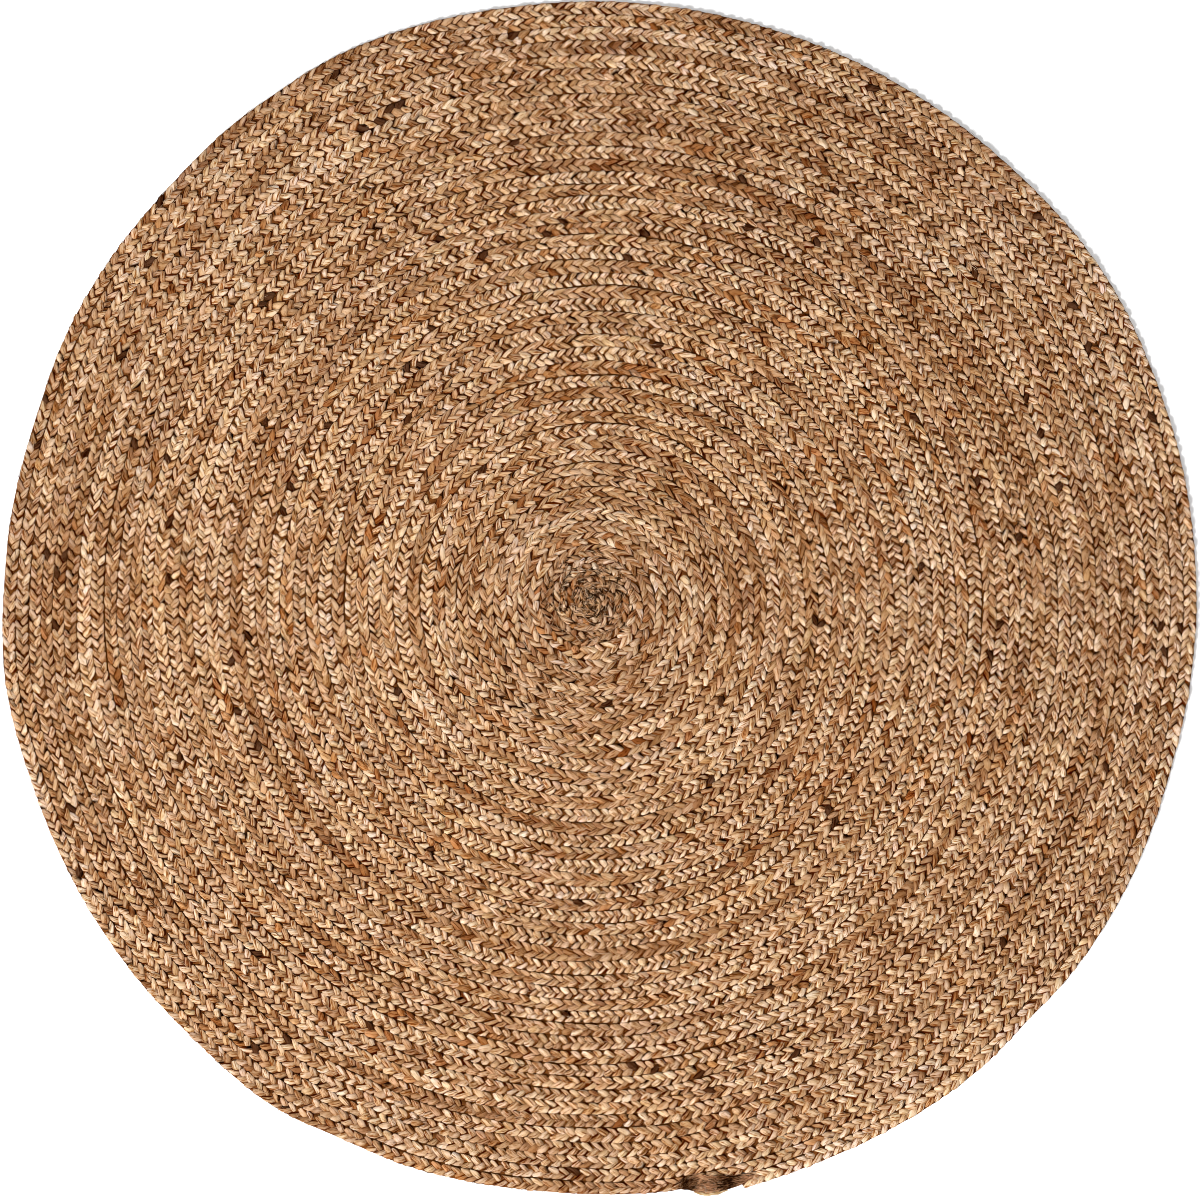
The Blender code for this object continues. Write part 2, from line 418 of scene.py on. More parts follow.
def quad_mesh(name, points, faces):
    mesh = bpy.data.meshes.new(name)
    mesh.vertices.add(len(points))
    mesh.vertices.foreach_set("co", points.astype(np.float32).ravel())
    mesh.loops.add(faces.size)
    mesh.loops.foreach_set("vertex_index", faces.astype(np.int32).ravel())
    mesh.polygons.add(len(faces))
    mesh.polygons.foreach_set("loop_start", np.arange(0, faces.size, 4, dtype=np.int32))
    mesh.update(calc_edges=True)
    mesh.validate()
    mesh.shade_smooth()
    return mesh


def vector_attribute(mesh, name, values):
    layer = mesh.attributes.new(name, "FLOAT_VECTOR", "POINT")
    layer.data.foreach_set("vector", values.astype(np.float32).ravel())


CELL_MARGIN = 0.07  # of the map's cells


def atlas(mesh, count, rows, columns, faces):
    """A map with a cell of its own for each small grid."""
    side = math.ceil(math.sqrt(count))
    along, across = np.meshgrid(np.linspace(0, 1, rows), np.linspace(0, 1, columns), indexing="ij")
    inside = np.stack([across, along], axis=-1).reshape(1, -1, 2)
    inside = inside * (1 - 2 * CELL_MARGIN) + CELL_MARGIN
    cell = np.stack([np.arange(count) % side, np.arange(count) // side], axis=-1)[:, None]
    spots = ((cell + inside) / side).reshape(-1, 2)
    layer = mesh.uv_layers.new(name="OFBake")
    layer.data.foreach_set("uv", spots[faces.ravel()].astype(np.float32).ravel())


def piece(name, mesh, material):
    made = bpy.data.objects.new(name, mesh)
    bpy.context.scene.collection.objects.link(made)
    mesh.materials.append(material)
    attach(made, "root")
    return made


class Nodes:
    """Adds shader nodes and links their inputs by name, or by number after a "_"."""

    def __init__(self, name):
        self.material = bpy.data.materials.new(name)
        self.material.use_nodes = True
        self.tree = self.material.node_tree
        self.shader = self.tree.nodes["Principled BSDF"]

    def add(self, kind, settings=None, **inputs):
        node = self.tree.nodes.new("ShaderNode" + kind)
        for key, value in (settings or {}).items():
            setattr(node, key, value)
        for key, value in inputs.items():
            socket = node.inputs[int(key[1:]) if key[1:].isdigit() else key.replace("_", " ")]
            self.feed(socket, value)
        return node.outputs

    def feed(self, socket, value):
        if isinstance(value, bpy.types.NodeSocket):
            self.tree.links.new(value, socket)
        else:
            socket.default_value = value

    def number(self, operation, a, b, c=0.0):
        return self.add("Math", {"operation": operation}, _0=a, _1=b, _2=c)[0]

    def vector(self, operation, a, b, c=(0.0, 0.0, 0.0)):
        return self.add("VectorMath", {"operation": operation}, _0=a, _1=b, _2=c)[0]

    def noise(self, at, scale):
        return self.add("TexNoise", Vector=at, Scale=scale, Detail=2.0, Roughness=0.6)["Fac"]


DRAWN = (0.14, 1.0, 0.0)  # the fibres are long along a stitch and fine across it
THREAD_SCALE, HAIR_SCALE = 0.36, 1.3  # for each millimetre across
HAIR_SHARE = 0.8
FIBRE_MIDDLE = 0.9  # what the threads and hairs together come to
DARKEST_FIBRE = (0.2, 0.12, 0.06)
LIGHTEST_FIBRE = (1.15, 1.17, 1.2)
RAGGED = 1.0  # how far the threads shift the painted crevice shade at a stitch's edges
CREVICE_SHADE_FROM, CREVICE_SHADE_TO = 0.62, 0.87  # of half a stitch's width, where painted shade darkens its edges towards the crevices
# the dark colour that the painted crevice shade multiplies in
PAINTED_CREVICE_SHADE = (0.15, 0.036, 0.004)
FIBRE_DEPTH = 1.1 * MM
HAIRS_FROM, HAIRS_TO = 0.3, 0.7
SMOOTHER, MATTER = 0.1, 0.08  # how far the hairs change the roughness


def jute_material(name, roughness, streak, relief):
    """Jute whose fibres run along each stitch. The fibre attribute gives millimetres along and
    across a stitch, and how near its edge a point is. Near the edge the colour takes a painted
    shade, for the crevices between stitches."""
    nodes = Nodes(name)
    tint = nodes.add("Attribute", {"attribute_name": "tint"})["Color"]
    fibre = nodes.add("Attribute", {"attribute_name": "fibre"})["Vector"]
    drawn = nodes.vector("MULTIPLY", fibre, DRAWN)
    threads = nodes.noise(drawn, THREAD_SCALE)
    hairs = nodes.noise(drawn, HAIR_SCALE)
    mixed = nodes.number("MULTIPLY_ADD", hairs, HAIR_SHARE, threads)
    depth = streak * STITCH_DEEPEN
    shade = nodes.vector("MULTIPLY_ADD", mixed, depth, 1 - FIBRE_MIDDLE * depth)
    shade = nodes.vector("MAXIMUM", shade, DARKEST_FIBRE)
    shade = nodes.vector("MINIMUM", shade, LIGHTEST_FIBRE)
    colour = nodes.vector("MULTIPLY", tint, shade)
    edge = nodes.add("SeparateXYZ", Vector=fibre)["Z"]
    ragged = nodes.number("MULTIPLY_ADD", threads, RAGGED, -RAGGED / 2)
    # painted shade in the crevices between stitches, darkest at their edges
    crevice_shade = nodes.add(
        "MapRange", {"interpolation_type": "SMOOTHSTEP"},
        _0=nodes.number("ADD", edge, ragged), _1=CREVICE_SHADE_FROM, _2=CREVICE_SHADE_TO,
    )[0]  # fmt: skip
    crevice_shaded = nodes.add(
        "Mix", {"data_type": "RGBA", "blend_type": "MULTIPLY"},
        _0=crevice_shade, _6=colour, _7=(*PAINTED_CREVICE_SHADE, 1.0),
    )[2]  # fmt: skip
    bump = nodes.add("Bump", Strength=relief, Distance=FIBRE_DEPTH, Height=mixed)[0]
    rough = nodes.add(
        "MapRange", _0=hairs, _1=HAIRS_FROM, _2=HAIRS_TO,
        _3=roughness - SMOOTHER, _4=roughness + MATTER,
    )[0]  # fmt: skip
    shader = nodes.shader
    nodes.feed(shader.inputs["Base Color"], crevice_shaded)
    nodes.feed(shader.inputs["Roughness"], rough)
    nodes.feed(shader.inputs["Normal"], bump)
    shader.inputs["Specular IOR Level"].default_value = 0.0
    return nodes.material


def stitch_tint(colour, shape, section, rng):
    """A colour for each point: painted shade where a stitch tucks in, and rare slivers of bark."""
    count, along, across = len(colour), len(shape), len(section)
    # light is painted light: shade where a stitch tucks in and at its sides, a slight highlight
    # towards its outer end
    light = shape[:, 5].reshape(1, -1, 1) * section[:, 2].reshape(1, 1, -1)
    light = light * np.exp(rng.normal(size=(count, along, across)) * POINT_SPREAD)
    slant = rng.normal(size=(count, 1, 1)) * SLANT_SPREAD * section[:, 0].reshape(1, 1, -1)
    tone = np.minimum(np.log(light) + slant, BRIGHTEST_WITHIN)
    values = shaded(colour[:, None, None, :], tone)
    crowded = np.exp(drift(rng, count, SLIVER_RUN))
    barked = (rng.random(count) < SLIVER_SHARE * crowded)[:, None, None]
    edge = rng.choice((0, across - 1), (count, 1, 1))
    away = np.abs(np.arange(across).reshape(1, 1, -1) - edge)
    tucked = np.abs(np.arange(along).reshape(1, -1, 1) - SLIVER_MIDDLE) * SLIVER_CLOSING
    where = away + tucked + rng.random((count, along, across)) < SLIVER_REACH
    return np.where((barked & where)[..., None], BARK, values)


def stitch_fibre(count, shape, section, rng):
    """Place along and across each stitch in millimetres, shifted so that no two match, and how
    near its edge a point is, which sets where the painted crevice shade falls."""
    one = (count, 1, 1)
    run = np.linspace(0, STITCH_RUN, len(shape)).reshape(1, -1, 1) + rng.random(one) * ELSEWHERE
    over = section[:, 0].reshape(1, 1, -1) * STITCH_HALF + rng.random(one) * ELSEWHERE
    side = np.abs(section[:, 0]).reshape(1, 1, -1) + rng.normal(size=one) * EDGE_SPREAD
    outer_end = (np.arange(len(shape)) == len(shape) - 1).reshape(1, -1, 1) * END_EDGE
    side = np.maximum(side, outer_end)
    size = (count, len(shape), len(section))
    return np.stack([np.broadcast_to(values, size) for values in (run, over, side)], axis=-1)


MOST_STITCHES = 6000  # in one piece


def braid_pieces(braid, seed, material, relief):
    """The stitches of one braid, on its top and on its underside."""
    rng = np.random.default_rng(seed)
    count = 2 * braid.stitches
    colour = strand_look(braid, rng, count)
    made = []
    top = stitches(braid, TOP_STITCH, TOP_SECTION, 1, seed, relief)
    tint = stitch_tint(colour, TOP_STITCH, TOP_SECTION, rng)
    fibre = stitch_fibre(count, TOP_STITCH, TOP_SECTION, rng)
    runs = np.array_split(np.arange(count), math.ceil(count / MOST_STITCHES))
    for number, run in enumerate(runs):
        name = f"{braid.name}_stitches_{number + 1}"
        made.append(grid_mesh(name, top[run], tint[run], fibre[run], material))
    under = stitches(braid, UNDER_STITCH, UNDER_SECTION, -1, seed, relief)
    under[..., 2] = np.maximum(under[..., 2], 0.0)
    tint = stitch_tint(colour, UNDER_STITCH, UNDER_SECTION, rng)
    fibre = stitch_fibre(count, UNDER_STITCH, UNDER_SECTION, rng)
    under, tint, fibre = under[:, :, ::-1], tint[:, :, ::-1], fibre[:, :, ::-1]
    made.append(grid_mesh(f"{braid.name}_underside", under, tint, fibre, material))
    return made


# The hidden middle of the braids, which closes the gaps between the stitches
CORE_ACROSS = 1.04  # of half a row
CORE_LOW = 4.0 * MM
CORE_SIDE = 4.7 * MM
CORE_HIGH = 5.8 * MM
# Corners of its section. Columns: share across the braid, height
CORE_SECTION = np.array((
    (-CORE_ACROSS, CORE_LOW), (CORE_ACROSS, CORE_LOW), (CORE_ACROSS, CORE_SIDE),
    (0.0, CORE_HIGH), (-CORE_ACROSS, CORE_SIDE),
))  # fmt: skip
CORE_STEP = 2.0  # stitches along one side, on average
CORE_SPREAD = 4 / 3  # the steps are shorter towards the middle
# Nearly black: painted shade, where the core shows in the gaps between stitches and at open seams
CORE_SHADE_COLOUR = np.array((0.14, 0.045, 0.010))


def core_rings(braid):
    """Five-sided sections along a braid, as an array (section, corner, xyz)."""
    steps = int(braid.stitches / CORE_STEP)
    q = braid.q[-1] * np.linspace(0, 1, steps)[:, None] ** CORE_SPREAD
    shape = (steps, len(CORE_SECTION))
    across, height = (np.broadcast_to(column, shape) for column in CORE_SECTION.T)
    return braid.points(np.broadcast_to(q, shape), across, height)


def core_piece(material):
    points, faces, first = [], [], 0
    for braid in (PALE, BROWN):
        rings = core_rings(braid)
        count, corners = rings.shape[:2]
        index = first + np.arange(count * corners).reshape(count, corners)
        around = np.roll(index, -1, axis=1)
        sides = np.stack([index[:-1], around[:-1], around[1:], index[1:]], axis=-1)
        faces += sides.reshape(-1, 4).tolist()
        for a, b, c, d, e in (np.roll(index[0, ::-1], 1).tolist(), index[-1].tolist()):
            faces += [(a, b, c, d), (a, d, e)]
        points.append(rings.reshape(-1, 3))
        first += count * corners
    points = np.concatenate(points)
    mesh = bpy.data.meshes.new("rug_core")
    mesh.from_pydata(points.tolist(), [], faces)
    mesh.shade_smooth()
    vector_attribute(mesh, "tint", np.broadcast_to(CORE_SHADE_COLOUR, points.shape))
    vector_attribute(mesh, "fibre", points * (1 / MM, 1 / MM, 0.0))
    return piece("rug_core", mesh, material)


# Loose fibres lie on the braids, stand off the rim and swirl round the middle. A pair in brackets
# is a range
FIBRE_SHAPE = np.array((0.25, 1.0, 1.15, 1.0, 0.25))  # thickness along a fibre
FIBRE_STEPS = np.linspace(0, 1, len(FIBRE_SHAPE))
FIBRE_BULGE = np.sin(math.pi * FIBRE_STEPS)
FIBRE_CORNERS = np.radians((90, 210, 330, 450))
FIBRE_RUN, FIBRE_ROUND = 4.0, 0.4  # millimetres between points, for its shades
PALE_FIBRE = np.array((0.62, 0.42, 0.26))
DARK_FIBRE = np.array((0.17, 0.075, 0.028))
FIBRE_SPREAD, FIBRE_LIGHTEST = 0.25, 0.6

FACE_FIBRES = 4200  # half of them on each braid
FACE_END = 4  # stitches without fibres at a braid's ends
FACE_LENGTH = (0.5, 1.9)  # stitches
FACE_START = (-0.35, 0.3)  # shares of half a row
FACE_SLOPE = (0.1, 0.9)
FACE_CURL, FACE_TWIST = 0.25, 0.3
FACE_LIFT = (0.5, 1.3)  # millimetres
FACE_ARCH = 0.7
FACE_HEIGHT, FACE_FALL = 8.5, 1.6  # millimetres at the braid's middle, and down to its seams
FACE_RADIUS = (0.16, 0.40)  # millimetres
FACE_PALE = 0.6

RIM_FIBRES = 420
RIM_LENGTH = (0.4, 1.5)  # degrees
RIM_PROUD, RIM_SUNK, RIM_FLICK = (0.2, 1.9), 0.9, (0, 1.0)  # millimetres
RIM_HEIGHT, RIM_RADIUS = (2, 8), (0.13, 0.26)  # millimetres
RIM_LOWEST = 0.4 * MM
RIM_PALE = 0.6

MIDDLE_FIBRES = 640
MIDDLE_NEAR, MIDDLE_REACH = 1, 58  # millimetres from the coil's start, and on from there
MIDDLE_CROWDING = 1.1
MIDDLE_LENGTH = (5, 15)  # millimetres
MIDDLE_OPEN = 6 * MM
MIDDLE_STRAY = 5 * MM
MIDDLE_LEAST = 0.6 * MM
MIDDLE_HEIGHT, MIDDLE_LIFT = 8.6, (0.2, 1.8)  # millimetres
MIDDLE_RADIUS = (0.25, 0.85)  # millimetres
MIDDLE_PALE = 0.55
MIDDLE_SPREAD, MIDDLE_LIGHTEST = 0.3, 0.3
MIDDLE_DARKER = 3


def fibres(name, paths, thickness, colour, rng, material):
    """A mesh of thin three-sided strands. paths is (fibre, point, xyz), thickness in metres."""
    count, points = paths.shape[:2]
    run = np.gradient(paths, axis=1)
    run = run / np.linalg.norm(run, axis=-1, keepdims=True)
    side = np.cross(run, (0.0, 0.0, 1.0))
    side = side / np.linalg.norm(side, axis=-1, keepdims=True)
    rise = np.cross(side, run)
    radius = (thickness[:, None] * FIBRE_SHAPE)[:, :, None, None]
    corners = FIBRE_CORNERS.reshape(1, 1, -1, 1)
    ring = side[:, :, None] * np.cos(corners) + rise[:, :, None] * np.sin(corners)
    grid = paths[:, :, None] + ring * radius
    size = grid.shape[:3]
    tint = np.broadcast_to(colour[:, None, None], grid.shape)
    along = np.arange(points).reshape(1, -1, 1) * FIBRE_RUN
    along = along + rng.random((count, 1, 1)) * ELSEWHERE
    around = np.arange(len(FIBRE_CORNERS)).reshape(1, 1, -1) * FIBRE_ROUND
    around = around + rng.random((count, 1, 1)) * ELSEWHERE
    spot = [np.broadcast_to(along, size), np.broadcast_to(around, size), np.zeros(size)]
    return grid_mesh(name, grid, tint, np.stack(spot, axis=-1), material)


def fibre_colours(rng, count, pale_share):
    pale = rng.random(count) < pale_share
    colour = np.where(pale[:, None], PALE_FIBRE, DARK_FIBRE)
    tone = np.minimum(rng.normal(size=count), FIBRE_LIGHTEST) * FIBRE_SPREAD
    return shaded(colour, tone, STITCH_DEEPEN)


def face_fibres(braid, seed, material):
    """Short strands that lift out of the stitches and dip back in."""
    rng = np.random.default_rng(seed)
    count = FACE_FIBRES // 2
    one = (count, 1)
    start = rng.uniform(FACE_END, braid.stitches - FACE_END, one)
    length = rng.uniform(*FACE_LENGTH, one)
    side = np.where(rng.random(one) < 0.5, 1.0, -1.0)
    slope = rng.uniform(*FACE_SLOPE, one)
    curl = rng.normal(size=one) * FACE_CURL
    across = side * (rng.uniform(*FACE_START, one) + slope * length / 2 * FIBRE_STEPS)
    across = np.clip(across + curl * FIBRE_BULGE, -1.0, 1.0)
    twist = curl * FACE_TWIST * np.sin(2 * math.pi * FIBRE_STEPS)
    q = start + length * FIBRE_STEPS + twist
    lift = rng.uniform(*FACE_LIFT, one) * FIBRE_BULGE ** FACE_ARCH
    height = (FACE_HEIGHT - FACE_FALL * np.abs(across) ** 3 + lift) * MM
    thickness = rng.uniform(*FACE_RADIUS, count) * MM
    colour = fibre_colours(rng, count, FACE_PALE)
    return fibres(
        f"{braid.name}_fibres", braid.points(q, across, height), thickness, colour, rng, material
    )


def outwards_from_rim_centre(flat):
    outwards = flat - RIM_CENTRE
    return outwards / np.linalg.norm(outwards, axis=-1, keepdims=True)


def rim_fibres(material):
    """Fuzz along the rug's edge."""
    rng = np.random.default_rng(SEED + 5)
    count = RIM_FIBRES
    one = (count, 1)
    angle = rng.uniform(0, 360, one) + rng.uniform(*RIM_LENGTH, one) * FIBRE_STEPS
    flat = place(rim_row(angle), -angle / 360)
    proud = rng.uniform(*RIM_PROUD, one) * FIBRE_BULGE - RIM_SUNK
    proud = proud + rng.uniform(*RIM_FLICK, one) * FIBRE_STEPS ** 3
    flat = flat + outwards_from_rim_centre(flat) * (proud * MM)[..., None]
    height = (rng.uniform(*RIM_HEIGHT, one) + rng.normal(size=one) * FIBRE_STEPS) * MM
    paths = np.concatenate([flat, np.maximum(height, RIM_LOWEST)[..., None]], axis=-1)
    thickness = rng.uniform(*RIM_RADIUS, count) * MM
    colour = fibre_colours(rng, count, RIM_PALE)
    return fibres("rim_fibres", paths, thickness, colour, rng, material)


def middle_fibres(material):
    """Loose strands that swirl round the start of the coil."""
    rng = np.random.default_rng(SEED + 6)
    count = MIDDLE_FIBRES
    one = (count, 1)
    radius = (MIDDLE_NEAR + MIDDLE_REACH * rng.random(one) ** MIDDLE_CROWDING) * MM
    length = rng.uniform(*MIDDLE_LENGTH, one) * MM
    sweep = length / (radius + MIDDLE_OPEN)
    turned = rng.uniform(0, 2 * math.pi, one) - sweep * FIBRE_STEPS
    reach = radius + rng.normal(size=one) * MIDDLE_STRAY * (FIBRE_STEPS - 0.5)
    reach = np.maximum(reach, MIDDLE_LEAST)
    flat = np.stack([np.cos(turned), np.sin(turned)], axis=-1) * reach[..., None] + CORE_CENTRE
    height = (MIDDLE_HEIGHT + rng.uniform(*MIDDLE_LIFT, one) * FIBRE_BULGE) * MM
    paths = np.concatenate([flat, height[..., None]], axis=-1)
    thickness = rng.uniform(*MIDDLE_RADIUS, count) * MM
    pale = rng.random(one) < MIDDLE_PALE
    tone = np.minimum(rng.normal(size=count), MIDDLE_LIGHTEST) * MIDDLE_SPREAD
    colour = shaded(np.where(pale, PALE_FIBRE, DARK_FIBRE / MIDDLE_DARKER), tone, STITCH_DEEPEN)
    return fibres("middle_fibres", paths, thickness, colour, rng, material)


# The bound end at the rim: a lump wound with dark twine, with frayed fibres over it and over the
# row beside it, a pale strand along its outer side and the braid's last stitch. A share is one of
# its length, from where the braid ends
BOUND_START, BOUND_END = BROWN_END_ANGLE, 279.5  # degrees
BOUND_CREST = 10.4 * MM
BOUND_FIRST, BOUND_TIP = -0.04, 1.22
BOUND_RINGS = 61
BOUND_AROUND = 13
BOUND_WRAPS = 13
BOUND_INNER = -4.0 * MM  # where the lump meets the row
BOUND_THINNEST = 1 * MM
BOUND_FULL = 8 * MM  # half its width where it has its full height
BOUND_LOW = 0.55  # of its height, where it is thin
BOUND_BLUNT = 8
WRAP_RIDGE = 0.35 * MM
LUMP_SPREAD = 0.22 * MM
LUMP_LOWEST = 0.1 * MM
# The last of these paints shade in the grooves between the twine's wraps and light on their ridges
LUMP_LIGHT, LUMP_DARK, LUMP_RIDGE_SHADE = 1.3, 1.5, 0.35
LUMP_RUN, LUMP_ROUND = 75, 8  # size of the lump for its fibres, in millimetres
# Columns: share; inner and outer edge of its fibres, in millimetres out from the row within it
BOUND_EDGES = np.array((
    (-0.14, 2, 8), (0.20, -2, 11.6), (0.50, -7, 12.8), (0.75, -12, 11.2), (0.95, -15, 6),
    (1.10, -16, 1), (1.30, -12, -4),
))  # fmt: skip
# Where the twine shows dark. Columns: share of its middle, width as a share
DARK_PATCHES = ((0.34, 0.20), (1.06, 0.15))
TWINE = np.array((0.070, 0.031, 0.013))
FRAYED = np.array((0.66, 0.385, 0.215))

BOUND_FIBRES = 1000
FRAY_START = (-0.14, 1.14)
FRAY_LENGTH = (0.06, 0.20)
FRAY_SLANT, FRAY_CURL = 0.12, 0.05
FRAY_FAN, FAN_FROM, FAN_OVER = 0.45, 0.7, 0.3
FRAY_LANES = (-0.1, 1.0)
FRAY_CREST = 9.8 * MM  # over the row beside the lump
FRAY_INSIDE = 1 * MM
FRAY_FLATTEST = 0.02
FRAY_LIFT = (-0.3, 0.8)  # millimetres
FRAY_RADIUS = (0.20, 0.50)  # millimetres
FRAY_PALE, FRAY_PALE_LOSS = 0.95, 0.72
FRAY_SPREAD, FRAY_LIGHTEST, FRAY_SHADE = 0.35, 0.8, 0.85
FRAY_LEAD = 0.06

# Points of the two thick strands. Columns: share; millimetres out from the row within the bound
# end; height in millimetres
PALE_STRAND = ((0.38, 13.0, 5.6), (0.58, 13.6, 5.4), (0.78, 12.0, 5.0), (0.96, 6.6, 4.8))
LAST_STITCH = ((-0.20, 8.5, 6.6), (-0.12, 11.0, 6.8), (-0.05, 13.0, 6.0), (0.03, 14.5, 4.6))
PALE_STRAND_COLOUR = np.array((0.43, 0.29, 0.145))
LAST_STITCH_COLOUR = np.array((0.50, 0.31, 0.18))
STRAND_STEPS = np.linspace(0, 1, 17)
STRAND_ROUND = np.radians(np.linspace(0, 360, 11))
STRAND_TWIST = 22  # radians
STRAND_BLUNT, STRAND_TIP = 0.45, 0.03
# The second paints shade in the grooves between the strand's twisted plies and light on their
# ridges
STRAND_ODD, STRAND_RIDGE_SHADE = 0.12, 0.25
STRAND_RUN, STRAND_GIRTH = 40, 4  # size of a strand for its fibres, in millimetres


def bound_place(share, out, height):
    """Points at a share of the bound end's length, metres out from the row within it."""
    angle = BOUND_START + (BOUND_END - BOUND_START) * share
    turn = LAST_TURN - angle / 360
    near = place(brown_outer(turn), turn)
    flat = near + outwards_from_rim_centre(near) * out[..., None]
    return np.concatenate([flat, height[..., None]], axis=-1)


def bound_edge(share, column):
    return np.interp(share, BOUND_EDGES[:, 0], BOUND_EDGES[:, column]) * MM


def bound_section(share):
    """The lump's middle, half its width and half its height."""
    outer = np.maximum(bound_edge(share, 2), BOUND_INNER + BOUND_THINNEST)
    half = (outer - BOUND_INNER) / 2
    fullness = BOUND_LOW + (1 - BOUND_LOW) * ease(half / BOUND_FULL)
    return BOUND_INNER + half, half, BOUND_CREST / 2 * fullness


def bound_patch(share):
    """Where the twine shows dark, from 0 to 1."""
    patches = sum(np.exp(-(((share - middle) / width) ** 2)) for middle, width in DARK_PATCHES)
    return np.clip(patches, 0, 1)


def bound_lump(material):
    rng = np.random.default_rng(SEED + 7)
    share = np.linspace(BOUND_FIRST, BOUND_TIP, BOUND_RINGS)[:, None]
    around = np.radians(np.linspace(0, 360, BOUND_AROUND))[None]
    middle, half, tall = bound_section(share)
    whole = (share - share[0]) / (share[-1] - share[0])
    close = np.sqrt(np.clip(1 - (2 * whole - 1) ** BOUND_BLUNT, 0.0, 1.0))
    winding = np.cos(share * BOUND_WRAPS * 2 * math.pi + around)
    rough = rng.normal(size=(BOUND_RINGS, BOUND_AROUND)) * LUMP_SPREAD
    rough[:, -1] = rough[:, 0]
    bulge = WRAP_RIDGE * winding + rough
    out = middle + np.cos(around) * (half + bulge) * close
    height = np.maximum(tall + np.sin(around) * (tall + bulge) * close, LUMP_LOWEST)
    points = bound_place(np.broadcast_to(share, out.shape), out, height)[None]
    # winding also shapes the wraps, so its share of the tone is painted shade in the grooves and
    # painted light on the ridges
    tone = LUMP_LIGHT - LUMP_DARK * bound_patch(share) + LUMP_RIDGE_SHADE * winding
    tint = shaded(TWINE[None, None], tone, STITCH_DEEPEN)[None]
    run = np.broadcast_to(share * LUMP_RUN, out.shape)
    over = np.broadcast_to(around * LUMP_ROUND, out.shape)
    fibre = np.stack([over, run, np.zeros(out.shape)], axis=-1)[None]
    return grid_mesh("bound_end", points, tint, fibre, material)


def bound_fibres(material):
    """Frayed strands over the bound end, which fan out over the row beside it."""
    rng = np.random.default_rng(SEED + 8)
    count = BOUND_FIBRES
    one = (count, 1)
    start = rng.uniform(*FRAY_START, one)
    share = start + rng.uniform(*FRAY_LENGTH, one) * FIBRE_STEPS
    lane = rng.uniform(0.0, 1.0, one) + rng.normal(size=one) * FRAY_SLANT * FIBRE_STEPS
    lane = lane + rng.normal(size=one) * FRAY_CURL * FIBRE_BULGE
    fan = FRAY_FAN * ease((start - FAN_FROM) / FAN_OVER) * FIBRE_STEPS
    lane = np.clip(lane + fan, *FRAY_LANES)
    inner, outer = bound_edge(share, 1), bound_edge(share, 2)
    out = inner + lane * (outer - inner)
    middle, half, tall = bound_section(share)
    height = tall * (1 + np.sqrt(np.clip(1 - ((out - middle) / half) ** 2, FRAY_FLATTEST, 1)))
    height = np.where(out < FRAY_INSIDE, np.maximum(height, FRAY_CREST), height)
    height = height + rng.uniform(*FRAY_LIFT, one) * MM * FIBRE_BULGE
    patch = bound_patch(start[:, 0] + FRAY_LEAD)
    light = rng.random(count) < FRAY_PALE - FRAY_PALE_LOSS * patch
    colour = np.where(light[:, None], FRAYED, TWINE)
    tone = np.minimum(rng.normal(size=count), FRAY_LIGHTEST) * FRAY_SPREAD - FRAY_SHADE * patch
    thickness = rng.uniform(*FRAY_RADIUS, count) * MM
    colour = shaded(colour, tone, STITCH_DEEPEN)
    paths = bound_place(share, out, height)
    return fibres("bound_fibres", paths, thickness, colour, rng, material)


def strand(name, table, radius, relief, colour, seed, material):
    """A thick twisted strand through points beside the bound end."""
    rng = np.random.default_rng(seed)
    spots = np.linspace(0, 1, len(table))
    share, out, height = (np.interp(STRAND_STEPS, spots, column) for column in zip(*table))
    path = bound_place(share, out * MM, height * MM)
    run = np.gradient(path, axis=0)
    run = run / np.linalg.norm(run, axis=-1, keepdims=True)
    side = np.cross(run, (0.0, 0.0, 1.0))
    rise = np.cross(side, run)
    around = STRAND_ROUND[None]
    inside = np.clip(STRAND_STEPS, STRAND_TIP, 1 - STRAND_TIP)
    taper = np.clip(np.sin(math.pi * inside), 0, 1) ** STRAND_BLUNT
    ridges = np.cos(2 * around + STRAND_STEPS[:, None] * STRAND_TWIST)
    size = (radius * taper)[:, None] * (1 + relief * ridges)
    ring = side[:, None] * np.cos(around)[..., None] + rise[:, None] * np.sin(around)[..., None]
    points = (path[:, None] + ring * size[..., None])[None]
    shape = size.shape
    # random tone, with painted shade in the grooves of the twist and painted light on its ridges
    tone = rng.normal(size=shape) * STRAND_ODD + STRAND_RIDGE_SHADE * ridges
    tone[:, -1] = tone[:, 0]
    tint = shaded(colour[None, None], tone)[None]
    along = np.broadcast_to(STRAND_STEPS[:, None] * STRAND_RUN, shape)
    girth = np.broadcast_to(around * STRAND_GIRTH, shape)
    fibre = np.stack([along, girth, np.zeros(shape)], axis=-1)[None]
    return grid_mesh(name, points, tint, fibre, material)


FLOOR_SIZE, FLOOR_HEIGHT = 40, -0.2 * MM
FLOOR_COLOUR = (0.86, 0.86, 0.86, 1)
FLOOR_ROUGHNESS = 0.9
FLOOR_GLOW = 0.22  # lightens the rug's shadow
SKY_STRENGTH = 0.5
KEY_ENERGY, KEY_SIZE, KEY_PLACE = 590, 1.8, (-2.7, -3.0, 5.3)
WHITE = (1, 1, 1, 1)


def key_light():
    data = bpy.data.lights.new("key", "AREA")
    data.energy = KEY_ENERGY
    data.size = KEY_SIZE
    lamp = bpy.data.objects.new("key", data)
    bpy.context.scene.collection.objects.link(lamp)
    lamp.location = KEY_PLACE
    lamp.rotation_mode = "QUATERNION"
    lamp.rotation_quaternion = (-Vector(KEY_PLACE)).to_track_quat("-Z", "Y")


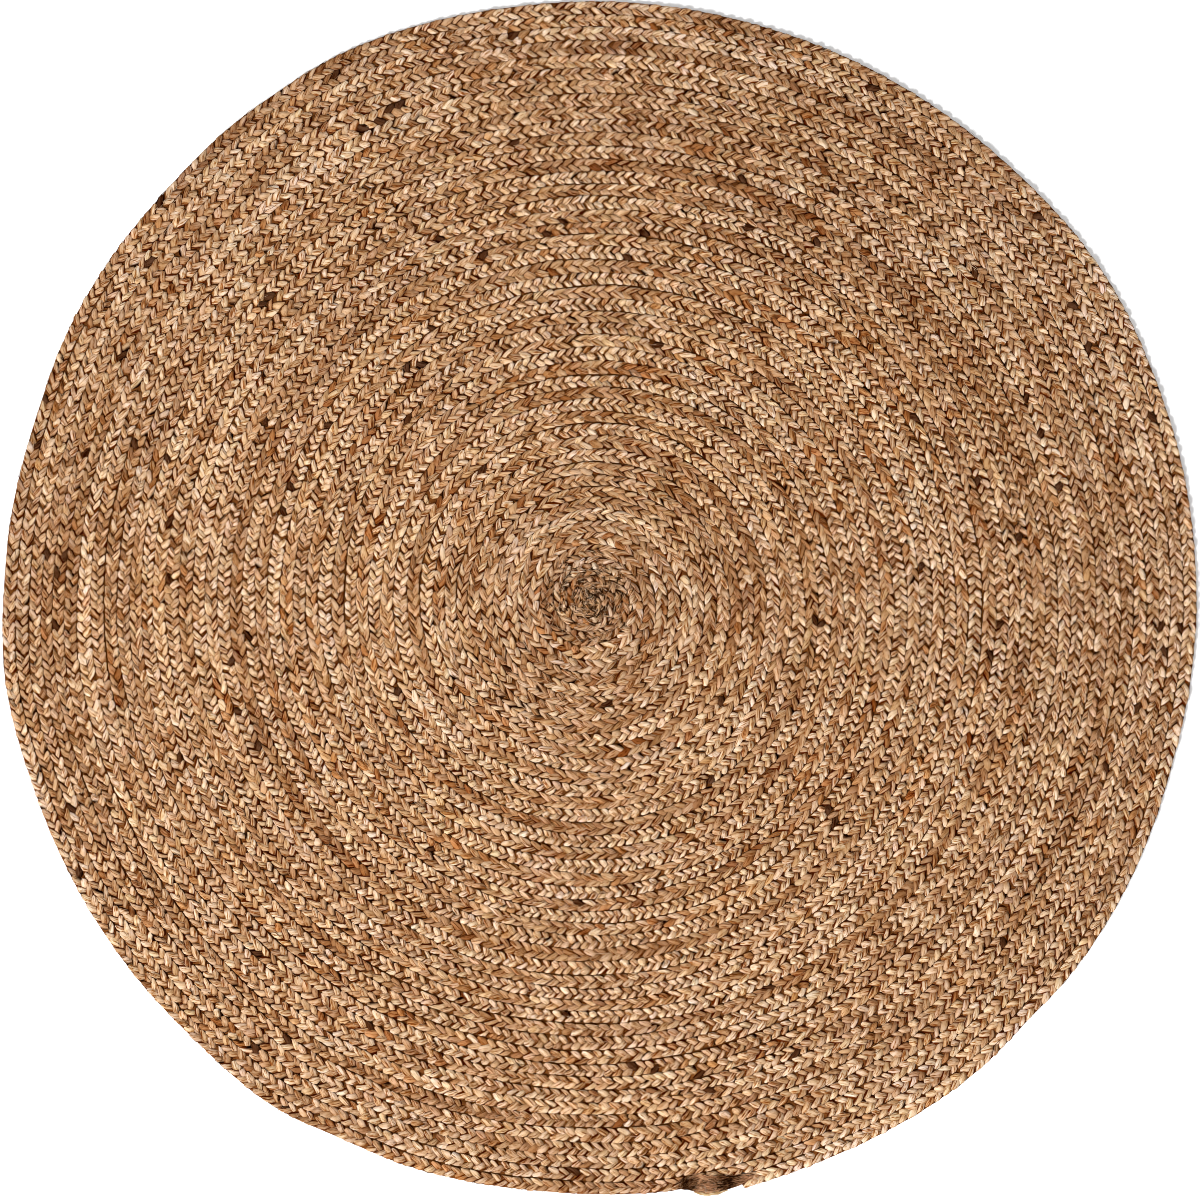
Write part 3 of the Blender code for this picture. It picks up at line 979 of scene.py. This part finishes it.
def studio():
    """A pale floor, a soft key light from the lower left and a pale sky."""
    bpy.ops.mesh.primitive_plane_add(size=FLOOR_SIZE, location=(0, 0, FLOOR_HEIGHT))
    floor = bpy.context.object
    floor.name = "floor"
    material = bpy.data.materials.new("floor")
    material.use_nodes = True
    shader = material.node_tree.nodes["Principled BSDF"]
    shader.inputs["Base Color"].default_value = FLOOR_COLOUR
    shader.inputs["Roughness"].default_value = FLOOR_ROUGHNESS
    shader.inputs["Emission Color"].default_value = WHITE
    shader.inputs["Emission Strength"].default_value = FLOOR_GLOW
    floor.data.materials.append(material)
    world = bpy.data.worlds.new("studio")
    bpy.context.scene.world = world
    world.use_nodes = True
    sky = world.node_tree.nodes["Background"]
    sky.inputs["Color"].default_value = WHITE
    sky.inputs["Strength"].default_value = SKY_STRENGTH
    key_light()


CAMERA_HEIGHT = 4.2
STITCH_TOP = 0.008
FRAME_WIDTH = 1.504  # metres of the rug's top across the picture
PHOTO_MIDDLE = (0.2 * MM, -2.15 * MM)
SHARPNESS = 0.9  # width of the picture filter, in pixels


def camera():
    """Straight above, with +X to the right and the rug filling the frame."""
    data = bpy.data.cameras.new("camera")
    data.lens = data.sensor_width * (CAMERA_HEIGHT - STITCH_TOP) / FRAME_WIDTH
    view = bpy.data.objects.new("camera", data)
    bpy.context.scene.collection.objects.link(view)
    view.location = (*PHOTO_MIDDLE, CAMERA_HEIGHT)
    bpy.context.scene.camera = view
    bpy.context.scene.view_settings.view_transform = "Standard"
    bpy.context.scene.cycles.filter_width = SHARPNESS


def main():
    camera()
    studio()
    pale_jute = jute_material("pale_jute", roughness=0.82, streak=3.6, relief=1.0)
    brown_jute = jute_material("brown_jute", roughness=0.80, streak=3.7, relief=1.0)
    dark_jute = jute_material("core_jute", roughness=0.9, streak=0.8, relief=0.5)
    twine = jute_material("binding_twine", roughness=0.9, streak=1.6, relief=0.8)
    pale = braid_pieces(PALE, SEED, pale_jute, PALE_RELIEF)
    brown = braid_pieces(BROWN, SEED + 1, brown_jute, BROWN_RELIEF)
    core = core_piece(dark_jute)
    loose = [
        face_fibres(PALE, SEED + 3, pale_jute), face_fibres(BROWN, SEED + 4, brown_jute),
        rim_fibres(pale_jute), middle_fibres(pale_jute),
    ]  # fmt: skip
    bound = [bound_lump(twine), bound_fibres(twine)]
    bound.append(strand(
        "bound_pale_strand", PALE_STRAND, radius=2.4 * MM, relief=0.16,
        colour=PALE_STRAND_COLOUR, seed=SEED + 9, material=twine,
    ))  # fmt: skip
    bound.append(strand(
        "last_stitch", LAST_STITCH, radius=4.0 * MM, relief=0.03,
        colour=LAST_STITCH_COLOUR, seed=SEED + 10, material=twine,
    ))  # fmt: skip
    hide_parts("end_binding")
    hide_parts("braid_pale")
    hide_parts("braid_brown")


main()
